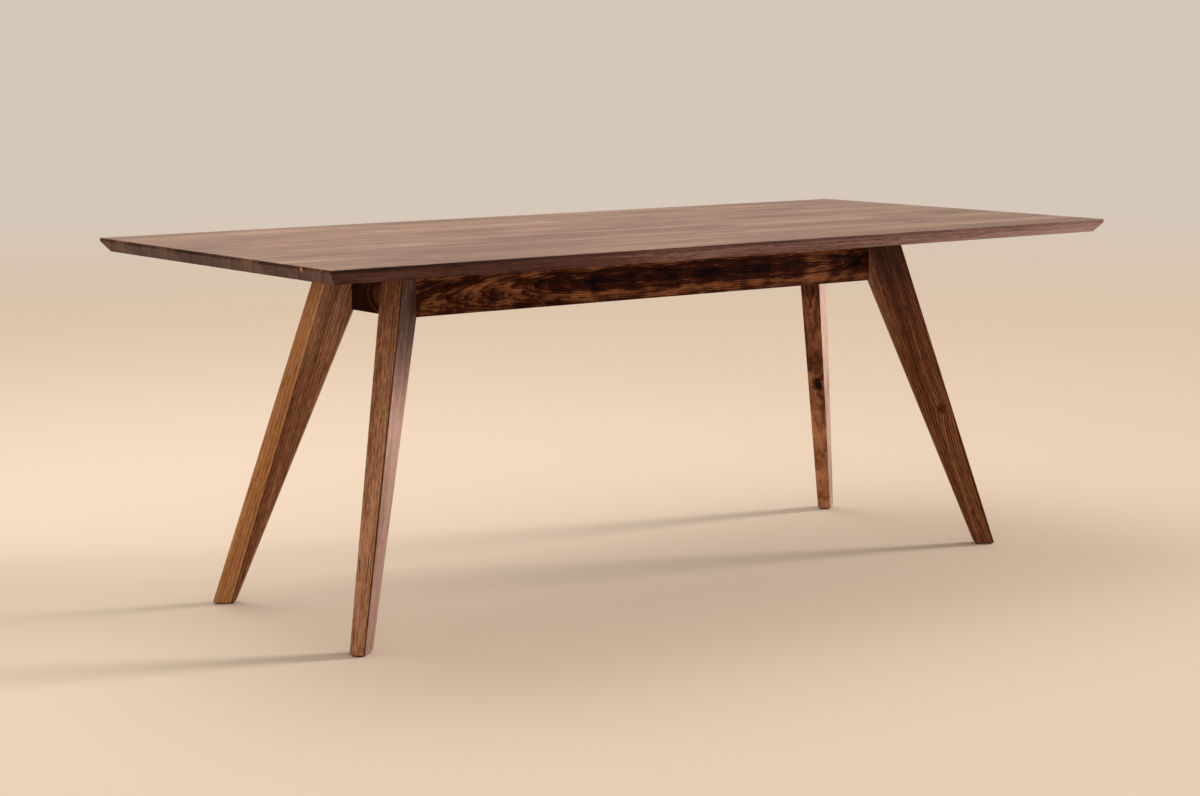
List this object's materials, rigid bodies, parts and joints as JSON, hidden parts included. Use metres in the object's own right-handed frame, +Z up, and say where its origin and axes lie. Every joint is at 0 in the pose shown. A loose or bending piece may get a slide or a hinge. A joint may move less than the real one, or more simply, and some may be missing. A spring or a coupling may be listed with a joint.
{
  "type": "dining table",
  "caption": "Rectangular wooden dining table: a stave-glued top with an undercut edge on splayed, tapered legs bolted to the cut-off corners of a narrow apron frame.",
  "frame": {"origin": "on the floor under the middle of the top", "axes": "+X along the table, +Y across it towards the back, +Z up"},
  "size_m": [2, 0.915, 0.75],
  "materials": {
    "walnut_top": "oiled walnut, satin, with long streaked grain",
    "walnut_base": "oiled dark walnut, satin, with figured grain",
    "inner_hardwood": "plain planed hardwood, matt",
    "black_steel": "black powder coat",
    "zinc_steel": "bright zinc plate",
    "black_pad": "dense black pad"
  },
  "bodies": {
    "root": {"top_stave_01": "walnut_top", "top_stave_02": "walnut_top", "top_stave_03": "walnut_top", "top_stave_04": "walnut_top", "top_stave_05": "walnut_top", "top_stave_06": "walnut_top", "top_stave_07": "walnut_top", "top_stave_08": "walnut_top", "top_stave_09": "walnut_top", "top_stave_10": "walnut_top", "top_stave_11": "walnut_top", "top_stave_12": "walnut_top", "stiffener_left": "black_steel", "stiffener_centre": "black_steel", "stiffener_right": "black_steel", "stiffener_screws": "zinc_steel", "long_apron_front": "walnut_base", "long_apron_back": "walnut_base", "end_apron_left": "walnut_base", "end_apron_right": "walnut_base", "cross_rail_left": "inner_hardwood", "cross_rail_right": "inner_hardwood", "leg_front_left": "walnut_base", "foot_pad_front_left": "black_pad", "corner_block_front_left": "inner_hardwood", "leg_front_right": "walnut_base", "foot_pad_front_right": "black_pad", "corner_block_front_right": "inner_hardwood", "leg_back_left": "walnut_base", "foot_pad_back_left": "black_pad", "corner_block_back_left": "inner_hardwood", "leg_back_right": "walnut_base", "foot_pad_back_right": "black_pad", "corner_block_back_right": "inner_hardwood", "corner_block_screws": "zinc_steel", "hanger_bolts": "zinc_steel", "bolt_washers": "zinc_steel", "bolt_nuts": "zinc_steel", "top_buttons": "inner_hardwood", "button_screws": "zinc_steel"}
  },
  "joints": []
}
